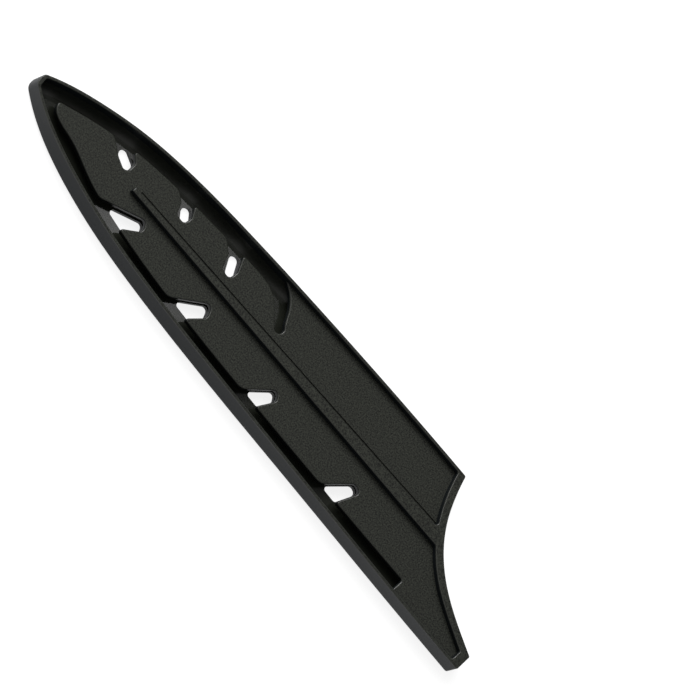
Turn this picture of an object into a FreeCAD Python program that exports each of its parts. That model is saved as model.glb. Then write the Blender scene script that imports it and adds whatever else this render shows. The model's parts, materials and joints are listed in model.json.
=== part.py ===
import FreeCAD, Part
import math
import os

Vector = FreeCAD.Vector

# Knife blade guard, lying on its back. X runs from the tip to the heel, Y from the cutting-edge
# side to the spine side, and Z from the back to the front. All sizes are in millimetres.

# Outline
length = 129.0
width = 24.75
spine_length = 103.95
heel_width = 3.4
heel_lean = 0.1
edge_flare = 0.5
nose_reach = 0.2
inner_nose_round = 0.5
corner_round = 0.4

# Layers, from the back to the front
back_plate = 1.3
blade_slot = 2.0
front_plate = 1.4
rim_height = 1.7

# Side wall, and the room left between its cove and the tongue
rim_wall = 0.6
cove_clearance = 0.15

# Front face
mouth_strip = 1.6
heel_land = 2.0
rib_start = 25.8
rib_tip_width = 0.85
rib_mouth_width = 2.43
rib_groove_width = 0.85
rib_groove_depth = 0.3
rib_groove_setback = 1.5
pocket_round = 0.5

# Gap that frees the tongue
tongue_setback = 5.4
tongue_tip_round = 0.6
tongue_root = 61.9
spine_gap = 2.6
edge_gap = 1.95
groove_setback = 18.3
groove_round = 0.5
slot_end_radius = 0.95
slot_run = 9.6
slot_lean_degrees = 41

# Vents: fins in the front plate, with holes under their blind ends in the back plate
vent_round = 0.9
foot_run = 1.5
edge_foot_round = 2.5
spine_foot_round = 2.0
foot_corner_round = 0.4
edge_hole_round = 0.6
edge_hole_ledge = 3.8
edge_hole_reach = 0.5
spine_hole_radius = 1.0

# Soft edges
rim_round = 0.22
face_round = 0.3
base_round = 0.8

# One overrun serves all cuts, one tolerance all searches
overrun = 3.0
tolerance = 0.01

# Outline points, as shares of length and width, from the tip along the edge side to the heel
edge_shares = [
    (0.0047, 0.3192), (0.0333, 0.2461), (0.0826, 0.162), (0.1446, 0.0941), (0.2132, 0.044),
    (0.3101, 0.0121), (0.4419, 0.0), (0.6589, 0.004), (0.8682, 0.0101), (1.0, 0.0234),
]
flare_shares = [0.0, 0.2, 0.7, 1.0, 1.0, 1.0, 0.95, 0.5, 0.1, 0.0]
edge_gap_shares = [1.41, 1.39, 1.31, 1.14, 1.05, 0.98, 0.98, 1.14, 1.46, 1.65]
# Mouth points, as shares of its run along X and its drop along Y, from the heel to the spine
mouth_shares = [
    (1.0, 1.0), (0.7234, 0.8801), (0.483, 0.7424), (0.2826, 0.5619), (0.1423, 0.3587),
    (0.0501, 0.1493), (0.0, 0.0),
]
mouth_strip_shares = [0.9, 0.85, 0.95, 1.0, 1.0, 1.05, 1.0]
# Spine points, as shares of the spine's length and of the width, from the mouth to the tip
spine_shares = [
    (1.0, 1.0), (0.8418, 0.9778), (0.6176, 0.9293), (0.4277, 0.8719), (0.2721, 0.7976),
    (0.1853, 0.7257), (0.1069, 0.6263), (0.0368, 0.5075), (0.0034, 0.432),
]
nose_share = 0.376
# Cove from the slot's floor up the spine-side wall, as shares of its run and of its rise to the front face
cove_shares = [(1.0, 0.0), (0.65, 0.09), (0.34, 0.32), (0.12, 0.66), (0.0, 1.0)]
# Most of a side that the rounding of one of its corners may take up
corner_limit_share = 0.48
rib_tip_share = 0.4
rib_mouth_share = 0.5324
# Relief slot at the tongue's root, from the middle of its round end: shares of its run, and of its rise
# to the plate's edge on the inner side and to the side wall on the outer side
slot_end_share = 0.62
slot_inner_shares = [(-1.0, 1.0), (-0.74, 0.975), (-0.48, 0.722), (-0.26, 0.266)]
slot_outer_shares = [(-0.106, 0.492), (-0.4, 0.913), (-0.66, 1.1)]
# Vents, from the foot nearer the tip round the blind end to the other foot: shares of the tongue, or of the
# groove beyond it, and of the way from the plate's edge to the middle of the rib
tongue_vent_shares = [
    [(0.373, 0), (0.512, 0.758), (0.53, 0.483), (0.476, 0)],
    [(0.719, 0), (0.821, 0.697), (0.84, 0.398), (0.797, 0)],
]
groove_vent_shares = [
    [(0.077, 0), (0.17, 0.578), (0.197, 0.399), (0.159, 0)],
    [(0.533, 0), (0.619, 0.533), (0.656, 0.474), (0.62, 0)],
]
spine_vent_shares = [
    [(0.266, 0), (0.34, 0.707), (0.369, 0.715), (0.367, 0.325), (0.335, 0)],
    [(0.506, 0), (0.54, 0.206), (0.556, 0.512), (0.591, 0.543), (0.593, 0.315), (0.571, 0)],
    [(0.702, 0), (0.741, 0.226), (0.761, 0.588), (0.796, 0.631), (0.799, 0.406), (0.773, 0)],
]
# Middles of both round ends of the spine holes, as the same shares
spine_hole_shares = [
    [(0.33, 0.181), (0.36, 0.358)],
    [(0.575, 0.172), (0.588, 0.301)],
    [(0.772, 0.134), (0.79, 0.367)],
]

# Levels
slot_floor = back_plate
slot_roof = slot_floor + blade_slot
panel_top = slot_roof + front_plate
rim_top = panel_top + rim_height
above = rim_top + overrun
groove_end = length - groove_setback


def scaled(shares, run, rise, origin=Vector(0, 0, 0)):
    """Points from shares of a run along X and a rise along Y."""
    return [origin + Vector(x * run, y * rise, 0) for x, y in shares]


def curve_through(points, **ends):
    """Smooth curve through the points, with set directions at both ends where they are given."""
    curve = Part.BSplineCurve()
    curve.interpolate(points, **ends)
    return curve


def inset(points, distances):
    """Points of a rail moved into the guard, each by its own distance."""
    curve = curve_through(points)
    moved = []
    for point, distance in zip(points, distances):
        along = curve.tangent(curve.parameter(point))[0]
        moved.append(point + Vector(-along.y, along.x, 0) * distance)
    return moved


def even_inset(points, distance):
    """Points of a rail moved into the guard by one distance."""
    return inset(points, [distance] * len(points))


def smooth_edge(points, **ends):
    """Edge along a smooth curve through the points, with the same choice of directions."""
    return curve_through(points, **ends).toShape()


def straight_edges(points):
    """Straight edges from point to point."""
    return [Part.LineSegment(start, end).toShape() for start, end in zip(points, points[1:])]


def arc_edge(start, middle, end):
    """Edge along the arc through three points."""
    return Part.Arc(start, middle, end).toShape()


def face_of(edges):
    """Flat face inside a closed run of edges."""
    return Part.Face(Part.Wire(edges))


def prism(face, low, high):
    """Upright solid on a flat face, from one level to another."""
    solid = face.extrude(Vector(0, 0, high - low))
    solid.translate(Vector(0, 0, low))
    return solid


def slab(low, high, start, end):
    """Block across the whole width between two levels and two stations along the length."""
    block = Part.makeBox(end - start, width + 2 * overrun, high - low)
    block.translate(Vector(start, -overrun, low))
    return block


def rounded_face(points, radii):
    """Flat face inside a polygon whose corners are rounded, each by its own radius."""
    starts, middles, ends = [], [], []
    for index, corner in enumerate(points):
        back = points[index - 1] - corner
        ahead = points[(index + 1) % len(points)] - corner
        room = corner_limit_share * min(back.Length, ahead.Length)
        half_angle = back.getAngle(ahead) / 2
        reach = min(radii[index] / math.tan(half_angle), room)
        depth = reach / math.cos(half_angle) - reach * math.tan(half_angle)
        back.normalize()
        ahead.normalize()
        starts.append(corner + back * reach)
        middles.append(corner + (back + ahead).normalize() * depth)
        ends.append(corner + ahead * reach)
    edges = []
    for index, radius in enumerate(radii):
        edges += straight_edges([ends[index - 1], starts[index]])
        if radius > 0:
            edges.append(arc_edge(starts[index], middles[index], ends[index]))
    return face_of(edges)


def upright_edge(shape, point):
    """Upright edge nearest to a point of the plan."""
    uprights = [edge for edge in shape.Edges if edge.Vertexes[0].Point.z != edge.Vertexes[-1].Point.z]
    return min(uprights, key=lambda edge: math.hypot(*(edge.CenterOfMass - point)[:2]))


def pocket_corners(shape):
    """Upright edges from the panel up to the rim, beyond the tongue."""
    found = []
    for edge in shape.Edges:
        ends = sorted((vertex.Point for vertex in edge.Vertexes), key=lambda point: point.z)
        rises = abs(ends[0].z - panel_top) < tolerance and abs(ends[-1].z - rim_top) < tolerance
        if rises and ends[0].x > tongue_root + tolerance:
            found.append(edge)
    return found


def level_edges(shape, level):
    """Edges that lie on one level, except across the tongue's root."""
    found = []
    for edge in shape.Edges:
        points = edge.discretize(3)
        across = all(abs(point.x - tongue_root) < tolerance for point in points)
        if all(abs(point.z - level) < tolerance for point in points) and not across:
            found.append(edge)
    return found


def level_edge(shape, level, point):
    """Edge on one level nearest to a point of the plan."""
    return min(level_edges(shape, level), key=lambda edge: math.hypot(*(edge.CenterOfMass - point)[:2]))


edge_points = scaled(edge_shares, length, width)
heel_top = edge_points[-1].y + heel_width
mouth_run = length - heel_lean - spine_length
mouth_points = scaled(mouth_shares, mouth_run, heel_top - width, Vector(spine_length, width, 0))
spine_points = scaled(spine_shares, spine_length, width)
nose = Vector(-nose_reach, nose_share * width, 0)


def outline(edge_rail):
    """Closed outer outline on one level, with its own edge-side rail and a round nose."""
    edge_curve, spine_curve = curve_through(edge_rail), curve_through(spine_points)
    into_nose = spine_curve.tangent(spine_curve.LastParameter)[0]
    out_of_nose = edge_curve.tangent(edge_curve.FirstParameter)[0]
    nose_points = [spine_points[-1], nose, edge_rail[0]]
    return Part.Wire([
        edge_curve.toShape(),
        *straight_edges([edge_rail[-1], mouth_points[0]]),
        smooth_edge(mouth_points),
        spine_curve.toShape(),
        smooth_edge(nose_points, InitialTangent=into_nose, FinalTangent=out_of_nose),
    ])


def inner_face(distance):
    """Face inside the side wall, open past the mouth and the heel."""
    edge_rail = even_inset(edge_points, distance)
    spine_rail = even_inset(spine_points, distance)
    far = length + overrun
    beyond = [edge_rail[-1], Vector(far, edge_rail[-1].y, 0), Vector(far, spine_rail[0].y, 0), spine_rail[0]]
    return face_of([
        smooth_edge(edge_rail),
        *straight_edges(beyond),
        smooth_edge(spine_rail),
        *straight_edges([spine_rail[-1], edge_rail[0]]),
    ])


def cove_section(point, inward):
    """Cross-section of the cove at a point of the spine side, reaching into the wall and the plate."""
    middle_of_wall = point + inward * (rim_wall / 2)
    run = rim_wall / 2 + spine_gap - cove_clearance
    bottom, top = Vector(0, 0, slot_floor), Vector(0, 0, (slot_roof + panel_top) / 2)
    curve = []
    for run_share, rise_share in cove_shares:
        curve.append(middle_of_wall + inward * (run_share * run) + bottom + (top - bottom) * rise_share)
    return Part.Wire([smooth_edge(curve), *straight_edges([curve[-1], middle_of_wall + bottom, curve[0]])])


def crossing(curve, start, end):
    """Point where a straight run from point to point crosses a flat curve."""
    found = curve.intersectCC(Part.LineSegment(start, end))[0]
    return Vector(found.X, found.Y, 0)


def at_station(curve, station):
    """Point of a flat curve at a station along the length."""
    return crossing(curve, Vector(station, -overrun, 0), Vector(station, width + overrun, 0))


tongue_rail = even_inset(spine_points, rim_wall + spine_gap)
tongue_tip = at_station(curve_through(tongue_rail), tongue_setback)


def edge_side_curve():
    """Plate's edge along the groove on the edge side, from the tongue's tip."""
    gaps = [rim_wall + edge_gap * share for share in edge_gap_shares]
    beyond_tip = [point for point in inset(edge_points, gaps) if point.x > tongue_tip.x]
    return curve_through([tongue_tip] + beyond_tip)


def spine_side_points(end):
    """Plate's edge along the gap on the spine side, from the tongue's tip to a station."""
    return [tongue_tip] + [point for point in reversed(tongue_rail) if tongue_tip.x < point.x < end]


def plate_face():
    """Front plate in plan, inside the gap that frees the tongue, running out past the other sides."""
    slot_lean = math.radians(slot_lean_degrees)
    ahead = Vector(math.cos(slot_lean), -math.sin(slot_lean), 0)
    aside = Vector(-ahead.y, ahead.x, 0) * slot_end_radius
    slot_middle = Vector(tongue_root, slot_end_share * width, 0)
    slot_start = tongue_root - slot_run
    spine_curve = curve_through(spine_side_points(spine_length))
    wall_curve = curve_through(even_inset(spine_points, rim_wall))
    inner_rise = at_station(spine_curve, slot_start).y - slot_middle.y
    outer_rise = at_station(wall_curve, slot_start).y - slot_middle.y
    slot_inner = scaled(slot_inner_shares, slot_run, inner_rise, slot_middle)
    slot_outer = scaled(slot_outer_shares, slot_run, outer_rise, slot_middle)
    inner_end = slot_middle - aside
    outer_end = slot_middle + aside
    bottom = slot_middle + ahead * slot_end_radius
    inner_points = spine_side_points(slot_start) + slot_inner + [inner_end]
    outer_points = [outer_end] + slot_outer
    edge_curve = edge_side_curve()
    groove_corner = at_station(edge_curve, groove_end)
    edge_curve.segment(edge_curve.FirstParameter, edge_curve.parameter(groove_corner))
    far = length + overrun
    high = width + overrun
    around = [
        slot_outer[-1], Vector(slot_outer[-1].x, high, 0), Vector(far, high, 0), Vector(far, -overrun, 0),
        Vector(groove_end, -overrun, 0), groove_corner,
    ]
    return face_of([
        smooth_edge(inner_points, InitialTangent=inner_points[1] - inner_points[0], FinalTangent=ahead),
        arc_edge(inner_end, bottom, outer_end),
        smooth_edge(outer_points, InitialTangent=-ahead, FinalTangent=outer_points[-1] - outer_points[-2]),
        *straight_edges(around),
        edge_curve.toShape(),
    ])


def rib_middle(station):
    """Middle of the rib at a station along the length."""
    tip_y = rib_tip_share * width
    rise = (rib_mouth_share * width - tip_y) / (spine_length - rib_start)
    return Vector(station, tip_y + rise * (station - rib_start), 0)


def rib_half(station):
    """Half of the rib's width at a station along the length, as an upright step."""
    growth = (rib_mouth_width - rib_tip_width) / (spine_length - rib_start)
    return Vector(0, (rib_tip_width + growth * (station - rib_start)) / 2, 0)


def rib_face():
    """Rib in plan, widening from its tip end and running out past the mouth."""
    corners = [
        rib_middle(rib_start) - rib_half(rib_start), rib_middle(length) - rib_half(length),
        rib_middle(length) + rib_half(length), rib_middle(rib_start) + rib_half(rib_start),
    ]
    return face_of(straight_edges(corners + corners[:1]))


def strip_points():
    """Points along the inner edge of the mouth strip."""
    return inset(mouth_points, [mouth_strip * share for share in mouth_strip_shares])


def rib_groove_face():
    """Fine groove along the rib's spine side in plan, from under the rib, short of both its ends."""
    meeting = crossing(curve_through(strip_points()), rib_middle(rib_start), rib_middle(length))
    first, last = rib_start + rib_groove_setback, meeting.x - rib_groove_setback
    aside = Vector(0, rib_groove_width, 0)
    corners = [rib_middle(first), rib_middle(last)]
    corners += [rib_middle(station) + rib_half(station) + aside for station in (last, first)]
    return face_of(straight_edges(corners + corners[:1]))


def inside_mouth_face():
    """Everything on the tip side of the mouth strip."""
    strip = strip_points()
    past_wall = strip[-1] + (strip[-1] - strip[-2]).normalize() * overrun
    around = [
        strip[-1], past_wall, Vector(past_wall.x, width + overrun, 0), Vector(-overrun, width + overrun, 0),
        Vector(-overrun, -overrun, 0), Vector(strip[0].x, -overrun, 0), strip[0],
    ]
    return face_of([smooth_edge(strip), *straight_edges(around)])


def vent_points(shares, rail, start, run):
    """Corners of a vent that leans in from the plate's edge towards the rib."""
    points = []
    for station_share, depth_share in shares:
        foot = at_station(rail, start + station_share * run)
        points.append(foot + (rib_middle(foot.x) - foot) * depth_share)
    return points


def run_out(points):
    """Vent's corners with both feet moved out into the gap."""
    first = points[0] + (points[0] - points[1]).normalize() * foot_run
    last = points[-1] + (points[-1] - points[-2]).normalize() * foot_run
    return [first] + points[1:-1] + [last]


def vent_face(points):
    """Vent in the front plate: a leaning fin that opens into the gap."""
    return rounded_face(run_out(points), [0] + [vent_round for point in points[1:-1]] + [0])


def edge_hole_face(points):
    """Hole under the blind end of an edge-side fin, beyond a ledge along the side wall."""
    ledge = curve_through(even_inset(edge_points, edge_hole_ledge))
    first, near, far, last = run_out(points)
    corners = [
        crossing(ledge, first, near), near + (near - first).normalize() * edge_hole_reach,
        far + (far - last).normalize() * edge_hole_reach, crossing(ledge, last, far),
    ]
    return rounded_face(corners, [edge_hole_round, vent_round, vent_round, edge_hole_round])


def spine_hole_face(near, far):
    """Slot with round ends under the blind end of a spine-side fin."""
    along = (far - near).normalize() * spine_hole_radius
    aside = Vector(-along.y, along.x, 0)
    return face_of([
        arc_edge(near + aside, near - along, near - aside),
        *straight_edges([near - aside, far - aside]),
        arc_edge(far - aside, far + along, far + aside),
        *straight_edges([far + aside, near + aside]),
    ])


# Outer form of both shells together, a little fuller at the back along the edge side
flared_rail = inset(edge_points, [-edge_flare * share for share in flare_shares])
front_outline = outline(edge_points)
front_outline.translate(Vector(0, 0, rim_top))
outer_form = Part.makeLoft([outline(flared_rail), front_outline], True, True)
end_points = [edge_points[-1], mouth_points[0], spine_points[0]]
outer_form = outer_form.makeFillet(corner_round, [upright_edge(outer_form, point) for point in end_points])

edge_side = edge_side_curve()
spine_side = curve_through(spine_side_points(spine_length))
edge_vents = [vent_points(shares, edge_side, 0, tongue_root) for shares in tongue_vent_shares]
groove_run = groove_end - tongue_root
edge_vents += [vent_points(shares, edge_side, tongue_root, groove_run) for shares in groove_vent_shares]
spine_vents = [vent_points(shares, spine_side, 0, tongue_root) for shares in spine_vent_shares]
tip_end, heel_end = -overrun, length + overrun

# Front plate with its gap and vents, cut across at the tongue's root
plate = prism(plate_face(), slot_roof, panel_top)
plate = plate.makeFillet(groove_round, [upright_edge(plate, at_station(edge_side, groove_end))])
plate = plate.makeFillet(tongue_tip_round, [upright_edge(plate, tongue_tip)])
vents = [prism(vent_face(points), slot_roof - overrun, above) for points in edge_vents + spine_vents]
plate = plate.cut(vents)
for row, foot_round in ((edge_vents, edge_foot_round), (spine_vents, spine_foot_round)):
    plate = plate.makeFillet(foot_round, [upright_edge(plate, points[0]) for points in row])
    plate = plate.makeFillet(foot_corner_round, [upright_edge(plate, points[-1]) for points in row])
plate = plate.makeFillet(face_round, [level_edge(plate, panel_top, tongue_tip)])
plate = plate.common(prism(inner_face(rim_wall), slot_roof, panel_top))
plate = plate.cut(prism(rib_groove_face(), panel_top - rib_groove_depth, above))
rib = prism(rib_face(), slot_roof, rim_top)
tongue_side = slab(slot_roof, rim_top, tip_end, tongue_root)
tongue_plate = max(plate.common(tongue_side).Solids, key=lambda solid: solid.Volume)
spring_tongue = tongue_plate.fuse(rib.common(tongue_side)).removeSplitter()
spring_tongue = spring_tongue.makeFillet(rim_round, level_edges(spring_tongue, rim_top))

# Front shell: side wall, mouth strip and the fixed part of the front plate
room = prism(inner_face(rim_wall), -overrun, above)
room_corners = [even_inset(edge_points, rim_wall)[0], even_inset(spine_points, rim_wall)[-1]]
room = room.makeFillet(inner_nose_round, [upright_edge(room, point) for point in room_corners])
side_wall = outer_form.common(slab(slot_floor, rim_top, tip_end, heel_end)).cut(room)
past_mouth = spine_points[0] + (spine_points[0] - spine_points[1]).normalize() * overrun
inwards = [(inner - outer).normalize() for outer, inner in zip(spine_points, tongue_rail)]
stations = zip([past_mouth] + spine_points, inwards[:1] + inwards)
cove = Part.makeLoft([cove_section(point, inward) for point, inward in stations], True).common(outer_form)
strip = outer_form.cut(prism(inside_mouth_face(), -overrun, above))
strip = strip.fuse(outer_form.common(slab(-overrun, above, length - heel_land, heel_end)))
strip = strip.common(slab(slot_roof, rim_top, tip_end, heel_end))
fixed_plate = plate.common(outer_form).cut(tongue_plate)
fixed_rib = rib.common(slab(slot_roof, rim_top, tongue_root, heel_end)).common(outer_form)
front_shell = side_wall.fuse(cove).fuse([strip, fixed_plate, fixed_rib]).removeSplitter()
front_shell = front_shell.makeFillet(pocket_round, pocket_corners(front_shell))
front_shell = front_shell.makeFillet(rim_round, level_edges(front_shell, rim_top))

# Back shell: flat back under the side wall and the blade's slot
back_shell = outer_form.common(slab(0, slot_floor, tip_end, heel_end))
back_shell = back_shell.makeFillet(base_round, level_edges(back_shell, 0))
holes = [edge_hole_face(points) for points in edge_vents]
holes += [spine_hole_face(*vent_points(shares, spine_side, 0, tongue_root)) for shares in spine_hole_shares]
back_shell = back_shell.cut([prism(face, -overrun, above) for face in holes])

# The origin is the middle of the back
pieces = {"front_shell": front_shell, "spring_tongue": spring_tongue, "back_shell": back_shell}
box = Part.makeCompound(list(pieces.values())).optimalBoundingBox()
os.makedirs("parts", exist_ok=True)
for name, shape in pieces.items():
    solid = shape.Solids[0]
    solid.translate(Vector(-box.Center.x, -box.Center.y, 0))
    solid.exportStep(f"parts/{name}.step")
    print(name, len(shape.Solids), solid.isValid(), solid.Volume)
print("middle of the back in the drawing", box.Center)
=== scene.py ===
"""Looks of a moulded knife blade guard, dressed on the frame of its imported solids.

The guard lies on its back on a pale floor. Its shapes come from the frame: this script gives them their
moulded finish, the studio light and the camera.
"""

import json
import logging
import math
from dataclasses import dataclass, field
from enum import Enum

import bmesh
import bpy
from mathutils import Matrix, Vector

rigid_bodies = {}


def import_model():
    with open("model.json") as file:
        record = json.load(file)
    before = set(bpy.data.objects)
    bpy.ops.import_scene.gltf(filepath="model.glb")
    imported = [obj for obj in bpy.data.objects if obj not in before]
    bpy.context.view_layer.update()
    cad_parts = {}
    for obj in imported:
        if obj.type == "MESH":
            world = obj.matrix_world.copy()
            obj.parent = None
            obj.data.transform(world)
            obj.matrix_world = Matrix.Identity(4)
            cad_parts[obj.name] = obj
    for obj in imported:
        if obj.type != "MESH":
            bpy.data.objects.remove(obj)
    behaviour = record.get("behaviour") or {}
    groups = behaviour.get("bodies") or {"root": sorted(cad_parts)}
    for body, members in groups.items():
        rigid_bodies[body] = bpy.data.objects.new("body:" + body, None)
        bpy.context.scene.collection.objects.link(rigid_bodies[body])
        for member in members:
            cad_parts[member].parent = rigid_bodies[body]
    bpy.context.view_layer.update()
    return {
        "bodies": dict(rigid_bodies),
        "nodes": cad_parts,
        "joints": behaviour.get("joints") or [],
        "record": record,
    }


MILLIMETRE = 0.001

log = logging.getLogger("blade_guard")


class Body(Enum):
    """Bodies of the frame that pieces ride on."""

    GUARD = "guard"
    TONGUE = "tongue"


@dataclass(frozen=True)
class MouldedPlastic:
    """Charcoal plastic: fine texture on the front faces, smooth slot floor, dull walls whose bluish tint
    is a painted reflection.

    The ranges say where one finish gives way to the next: for the upward part of the normal, for the
    height above the back and for the pattern of the flecks.
    """

    name: str
    face_colour: tuple[float, float, float] = (0.0186, 0.0202, 0.0156)
    # Dark smooth wall plastic; its bluish tint is a painted reflection.
    wall_colour_and_painted_sheen: tuple[float, float, float] = (0.0132, 0.0162, 0.0182)
    face_roughness: float = 0.6
    floor_roughness: float = 0.1
    wall_roughness: float = 0.38
    face_specular: float = 0.2
    edge_specular: float = 0.7
    wall_specular: float = 0.04
    fleck_size: float = 0.26 * MILLIMETRE
    fleck_strength: float = 0.85
    fleck_range: tuple[float, float] = (0.3, 0.7)
    grain_size: float = 0.2 * MILLIMETRE
    grain_depth: float = 0.02 * MILLIMETRE
    upward_range: tuple[float, float] = (0.15, 0.45)
    level_range: tuple[float, float] = (0.9, 0.99)
    texture_range: tuple[float, float] = (3.99 * MILLIMETRE, 4.2 * MILLIMETRE)

    def material(self) -> bpy.types.Material:
        """Build the node material.

        Returns:
            The material, with its patterns on Object coordinates.
        """
        made = bpy.data.materials.new(self.name)
        made.use_nodes = True
        tree = made.node_tree
        shader = tree.nodes["Principled BSDF"]
        place = tree.nodes.new("ShaderNodeTexCoord").outputs["Object"]
        upward = self._part(tree, tree.nodes.new("ShaderNodeNewGeometry").outputs["Normal"], "Z")
        looks_up = self._range(tree, upward, self.upward_range)
        level = self._range(tree, upward, self.level_range)
        raised = self._range(tree, self._part(tree, place, "Z"), self.texture_range)
        textured = tree.nodes.new("ShaderNodeMath")
        textured.operation = "MULTIPLY"
        tree.links.new(level, textured.inputs[0])
        tree.links.new(raised, textured.inputs[1])
        textured = textured.outputs["Value"]

        contrast = (1.0 - self.fleck_strength, 1.0 + self.fleck_strength)
        speckle = self._range(tree, self._noise(tree, place, self.fleck_size), self.fleck_range, contrast)
        flecked = tree.nodes.new("ShaderNodeMix")
        flecked.data_type = "RGBA"
        flecked.blend_type = "MULTIPLY"
        flecked.inputs["A"].default_value = (*self.face_colour, 1.0)
        tree.links.new(textured, flecked.inputs["Factor"])
        tree.links.new(speckle, flecked.inputs["B"])
        # Sideways walls take the wall colour: their own dark smooth plastic, with a bluish tint that is a
        # painted reflection.
        colour = tree.nodes.new("ShaderNodeMix")
        colour.data_type = "RGBA"
        colour.inputs["A"].default_value = (*self.wall_colour_and_painted_sheen, 1.0)
        tree.links.new(looks_up, colour.inputs["Factor"])
        tree.links.new(flecked.outputs["Result"], colour.inputs["B"])
        tree.links.new(colour.outputs["Result"], shader.inputs["Base Color"])

        sheen = self._range(tree, level, given=(self.edge_specular, self.face_specular))
        specular = tree.nodes.new("ShaderNodeMix")
        specular.inputs["A"].default_value = self.wall_specular
        tree.links.new(looks_up, specular.inputs["Factor"])
        tree.links.new(sheen, specular.inputs["B"])
        tree.links.new(specular.outputs["Result"], shader.inputs["Specular IOR Level"])
        smooth = self._range(tree, level, given=(self.wall_roughness, self.floor_roughness))
        rough = tree.nodes.new("ShaderNodeMix")
        rough.inputs["B"].default_value = self.face_roughness
        tree.links.new(textured, rough.inputs["Factor"])
        tree.links.new(smooth, rough.inputs["A"])
        tree.links.new(rough.outputs["Result"], shader.inputs["Roughness"])

        bump = tree.nodes.new("ShaderNodeBump")
        bump.inputs["Distance"].default_value = self.grain_depth
        tree.links.new(self._noise(tree, place, self.grain_size), bump.inputs["Height"])
        tree.links.new(textured, bump.inputs["Strength"])
        tree.links.new(bump.outputs["Normal"], shader.inputs["Normal"])
        return made

    @staticmethod
    def _part(tree: bpy.types.NodeTree, vector: bpy.types.NodeSocket, axis: str) -> bpy.types.NodeSocket:
        """Take one part of a vector.

        Args:
            tree: Node tree of the material.
            vector: Socket with the vector.
            axis: X, Y or Z.

        Returns:
            Socket with that part.
        """
        split = tree.nodes.new("ShaderNodeSeparateXYZ")
        tree.links.new(vector, split.inputs["Vector"])
        return split.outputs[axis]

    @staticmethod
    def _range(tree: bpy.types.NodeTree, value: bpy.types.NodeSocket,
               taken: tuple[float, float] = (0.0, 1.0),
               given: tuple[float, float] = (0.0, 1.0)) -> bpy.types.NodeSocket:
        """Map one range of values to another.

        Args:
            tree: Node tree of the material.
            value: Socket with the value.
            taken: Ends of the range that the value runs through.
            given: Ends of the range that comes out.

        Returns:
            Socket with the mapped value.
        """
        node = tree.nodes.new("ShaderNodeMapRange")
        node.inputs["From Min"].default_value = taken[0]
        node.inputs["From Max"].default_value = taken[1]
        node.inputs["To Min"].default_value = given[0]
        node.inputs["To Max"].default_value = given[1]
        tree.links.new(value, node.inputs["Value"])
        return node.outputs["Result"]

    @staticmethod
    def _noise(tree: bpy.types.NodeTree, place: bpy.types.NodeSocket, size: float) -> bpy.types.NodeSocket:
        """Add a noise pattern.

        Args:
            tree: Node tree of the material.
            place: Socket with the coordinates.
            size: Length over which the pattern repeats.

        Returns:
            Socket with the pattern's value.
        """
        node = tree.nodes.new("ShaderNodeTexNoise")
        node.inputs["Scale"].default_value = 1 / size
        node.inputs["Detail"].default_value = 1.0
        tree.links.new(place, node.inputs["Vector"])
        return node.outputs["Fac"]


@dataclass
class Moulding:
    """One moulded piece, shown as the frame holds it."""

    node: str
    body: Body
    finish: bpy.types.Material

    def dress(self, frame: dict) -> bpy.types.Object:
        """Give the piece its finish.

        Args:
            frame: The loaded frame.

        Returns:
            The dressed piece.
        """
        piece = frame["nodes"][self.node]
        piece.data.materials.clear()
        piece.data.materials.append(self.finish)
        return piece


@dataclass
class PaleFloor:
    """Plain pale floor that the guard lies on, a hair below its back."""

    half_width: float = 3.0
    drop: float = 0.02 * MILLIMETRE
    colour: tuple[float, float, float] = (0.35, 0.35, 0.35)
    glow: float = 0.84

    def build(self) -> bpy.types.Object:
        """Lay the floor.

        Returns:
            The floor, marked as stage.
        """
        shape = bmesh.new()
        below = Matrix.Translation((0, 0, -self.drop))
        bmesh.ops.create_grid(shape, x_segments=1, y_segments=1, size=self.half_width, matrix=below)
        mesh = bpy.data.meshes.new("floor")
        shape.to_mesh(mesh)
        shape.free()
        floor = bpy.data.objects.new("floor", mesh)
        bpy.context.scene.collection.objects.link(floor)
        floor.data.materials.append(self._material())
        return floor

    def _material(self) -> bpy.types.Material:
        """Pale matt sheet that looks white to the camera and keeps the shadow.

        Returns:
            The floor's material.
        """
        made = bpy.data.materials.new("pale_floor")
        made.use_nodes = True
        tree = made.node_tree
        shader = tree.nodes["Principled BSDF"]
        shader.inputs["Base Color"].default_value = (*self.colour, 1.0)
        shader.inputs["Roughness"].default_value = 1.0
        shader.inputs["Specular IOR Level"].default_value = 0.0
        shader.inputs["Emission Color"].default_value = (1.0, 1.0, 1.0, 1.0)
        path = tree.nodes.new("ShaderNodeLightPath")
        seen = path.outputs["Is Camera Ray"]
        for ray in ("Is Glossy Ray", "Is Transmission Ray"):
            either = tree.nodes.new("ShaderNodeMath")
            either.operation = "MAXIMUM"
            tree.links.new(seen, either.inputs[0])
            tree.links.new(path.outputs[ray], either.inputs[1])
            seen = either.outputs["Value"]
        glow = tree.nodes.new("ShaderNodeMath")
        glow.operation = "MULTIPLY"
        glow.inputs[1].default_value = self.glow
        tree.links.new(seen, glow.inputs[0])
        tree.links.new(glow.outputs["Value"], shader.inputs["Emission Strength"])
        return made


@dataclass
class SoftLamp:
    """Round soft box that looks at the guard."""

    name: str
    place: tuple[float, float, float]
    diameter: float
    share: float

    def build(self) -> bpy.types.Object:
        """Hang the lamp.

        Returns:
            The lamp.
        """
        place = Vector(self.place)
        data = bpy.data.lights.new(self.name, "AREA")
        data.shape = "DISK"
        data.size = self.diameter
        data.energy = self.share * math.pi ** 2 * place.length_squared
        lamp = bpy.data.objects.new(self.name, data)
        bpy.context.scene.collection.objects.link(lamp)
        lamp.location = place
        lamp.rotation_euler = place.to_track_quat("Z", "Y").to_euler()
        return lamp


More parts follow.
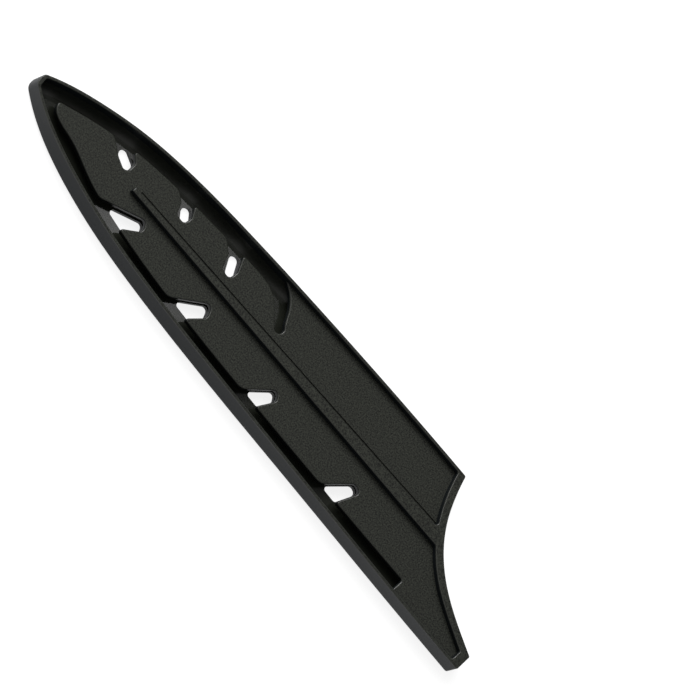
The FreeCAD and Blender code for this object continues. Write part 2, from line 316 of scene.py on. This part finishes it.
@dataclass
class Studio:
    """Soft light all round, with two soft boxes and a small one."""

    ambient: float = 0.28
    lamps: list[SoftLamp] = field(default_factory=lambda: [
        SoftLamp("top_box", place=(-0.32, 0.27, 0.8), diameter=0.6, share=0.6),
        SoftLamp("tip_box", place=(-0.75, 0.3, 0.5), diameter=0.3, share=0.35),
        SoftLamp("glint_box", place=(0.06, 0.255, 0.8), diameter=0.05, share=0.0062),
    ])

    def build(self) -> None:
        """Set the world and hang the lamps."""
        world = bpy.data.worlds.new("studio")
        world.use_nodes = True
        background = world.node_tree.nodes["Background"]
        background.inputs["Color"].default_value = (1.0, 1.0, 1.0, 1.0)
        background.inputs["Strength"].default_value = self.ambient
        bpy.context.scene.world = world
        for lamp in self.lamps:
            lamp.build()


@dataclass
class PhotoCamera:
    """Camera above the edge side, nearer the tip, with the picture rolled."""

    eye: tuple[float, float, float] = (-0.24062, -0.6235, 1.88502)
    back: tuple[float, float, float] = (-0.1247, -0.3172, 0.9401)
    up: tuple[float, float, float] = (-0.7742, 0.6237, 0.1077)
    lens: float = 575.4
    sensor: float = 36.0

    def build(self) -> bpy.types.Object:
        """Place the camera.

        Returns:
            The camera, set as the scene's own.
        """
        data = bpy.data.cameras.new("photo_camera")
        data.lens = self.lens
        data.sensor_width = self.sensor
        camera = bpy.data.objects.new("photo_camera", data)
        bpy.context.scene.collection.objects.link(camera)
        back = Vector(self.back).normalized()
        right = Vector(self.up).cross(back).normalized()
        turn = Matrix((right, back.cross(right), back)).transposed().to_4x4()
        camera.matrix_world = Matrix.Translation(self.eye) @ turn
        bpy.context.scene.camera = camera
        return camera


def main() -> None:
    """Dress the guard, light it and place the camera."""
    logging.basicConfig(level=logging.INFO, format="%(message)s")
    for leftover in list(bpy.data.objects):
        bpy.data.objects.remove(leftover)
    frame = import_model()
    plain_finish = MouldedPlastic("charcoal_plastic_moulded").material()
    sleeve_finish = MouldedPlastic("charcoal_plastic_sleeve", wall_specular=0.035).material()
    mouldings = [
        Moulding("front_shell", Body.GUARD, sleeve_finish),
        Moulding("spring_tongue", Body.TONGUE, plain_finish),
        Moulding("back_shell", Body.GUARD, plain_finish),
    ]
    for moulding in mouldings:
        piece = moulding.dress(frame)
        log.info("%s dressed, riding on %s", piece.name, moulding.body.value)
    PaleFloor().build()
    Studio().build()
    PhotoCamera().build()
    bpy.context.scene.view_settings.view_transform = "Standard"


if __name__ == "__main__":
    main()
